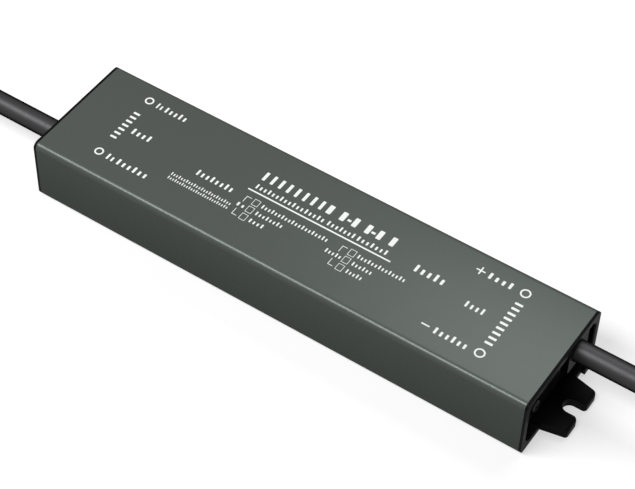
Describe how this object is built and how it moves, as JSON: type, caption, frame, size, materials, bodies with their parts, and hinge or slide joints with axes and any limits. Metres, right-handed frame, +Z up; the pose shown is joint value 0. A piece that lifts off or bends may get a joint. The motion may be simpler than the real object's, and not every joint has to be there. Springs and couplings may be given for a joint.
{
  "type": "led driver",
  "caption": "Slim sealed LED power supply in a painted aluminium tube with black end caps, slotted mounting lugs and a short lead at each end.",
  "frame": {"origin": "centre of the case's underside, midway between the two lug tips", "axes": "+X along the case towards the output (low voltage) end, +Y towards the side that the output lead leaves, +Z up from the underside"},
  "size_m": [0.4659, 0.041, 0.022],
  "materials": {
    "case_paint": "greenish grey powder coat, satin",
    "cap_plastic": "black moulded plastic, satin",
    "screw_steel": "blackened steel",
    "lead_jacket": "black flexible jacket",
    "tie_nylon": "black nylon",
    "core_red": "red insulation",
    "core_black": "black insulation",
    "core_brown": "brown insulation",
    "core_blue": "blue insulation",
    "core_earth": "green insulation with a yellow stripe",
    "tinned_copper": "tinned strands",
    "bracket_steel": "zinc-plated sheet",
    "rivet_brass": "plain",
    "board_laminate": "green laminate",
    "film_plastic": "yellowish film",
    "dark_epoxy": "moulded epoxy",
    "box_capacitor": "yellow box",
    "disc_blue": "dipped",
    "disc_green": "dipped",
    "ferrite": "sintered",
    "copper_wire": "enamelled",
    "can_aluminium": "plain can",
    "winding_tape": "taped winding",
    "gap_pad": "soft heat-conducting pad",
    "chip_ceramic": "chip parts",
    "potting_silicone": "soft grey compound"
  },
  "bodies": {
    "root": {"board_rivets": "rivet_brass", "bridge_rectifier": "dark_epoxy", "bulk_capacitor_back": "can_aluminium", "bulk_capacitor_front": "can_aluminium", "case": "case_paint", "chip_resistors": "chip_ceramic", "choke_base": "dark_epoxy", "choke_core": "ferrite", "choke_winding_back": "copper_wire", "choke_winding_front": "copper_wire", "circuit_board": "board_laminate", "control_chip": "dark_epoxy", "fuse": "dark_epoxy", "inductor_core": "ferrite", "inductor_winding": "copper_wire", "input_bare_ends": "tinned_copper", "input_board_bracket": "bracket_steel", "input_cap": "cap_plastic", "input_cap_screws": "screw_steel", "input_cord": "lead_jacket", "input_cord_tie": "tie_nylon", "input_core_blue": "core_blue", "input_core_brown": "core_brown", "input_core_earth": "core_earth", "input_wire_blue": "core_blue", "input_wire_brown": "core_brown", "input_wire_earth": "core_earth", "insulating_film": "film_plastic", "optocoupler": "dark_epoxy", "output_bare_ends": "tinned_copper", "output_board_bracket": "bracket_steel", "output_cap": "cap_plastic", "output_cap_screws": "screw_steel", "output_capacitor_back": "can_aluminium", "output_capacitor_front": "can_aluminium", "output_capacitor_middle": "can_aluminium", "output_cord": "lead_jacket", "output_cord_tie": "tie_nylon", "output_core_black": "core_black", "output_core_red": "core_red", "output_rectifier": "dark_epoxy", "output_rectifier_pad": "gap_pad", "output_wire_black": "core_black", "output_wire_red": "core_red", "potting_compound": "potting_silicone", "snubber_resistor": "dark_epoxy", "switching_transistor": "dark_epoxy", "switching_transistor_pad": "gap_pad", "thermistor": "disc_green", "transformer_bobbin": "dark_epoxy", "transformer_core_left": "ferrite", "transformer_core_right": "ferrite", "transformer_pads": "gap_pad", "transformer_winding": "winding_tape", "varistor": "disc_blue", "x_capacitor": "box_capacitor", "y_capacitor": "disc_blue"}
  },
  "joints": []
}
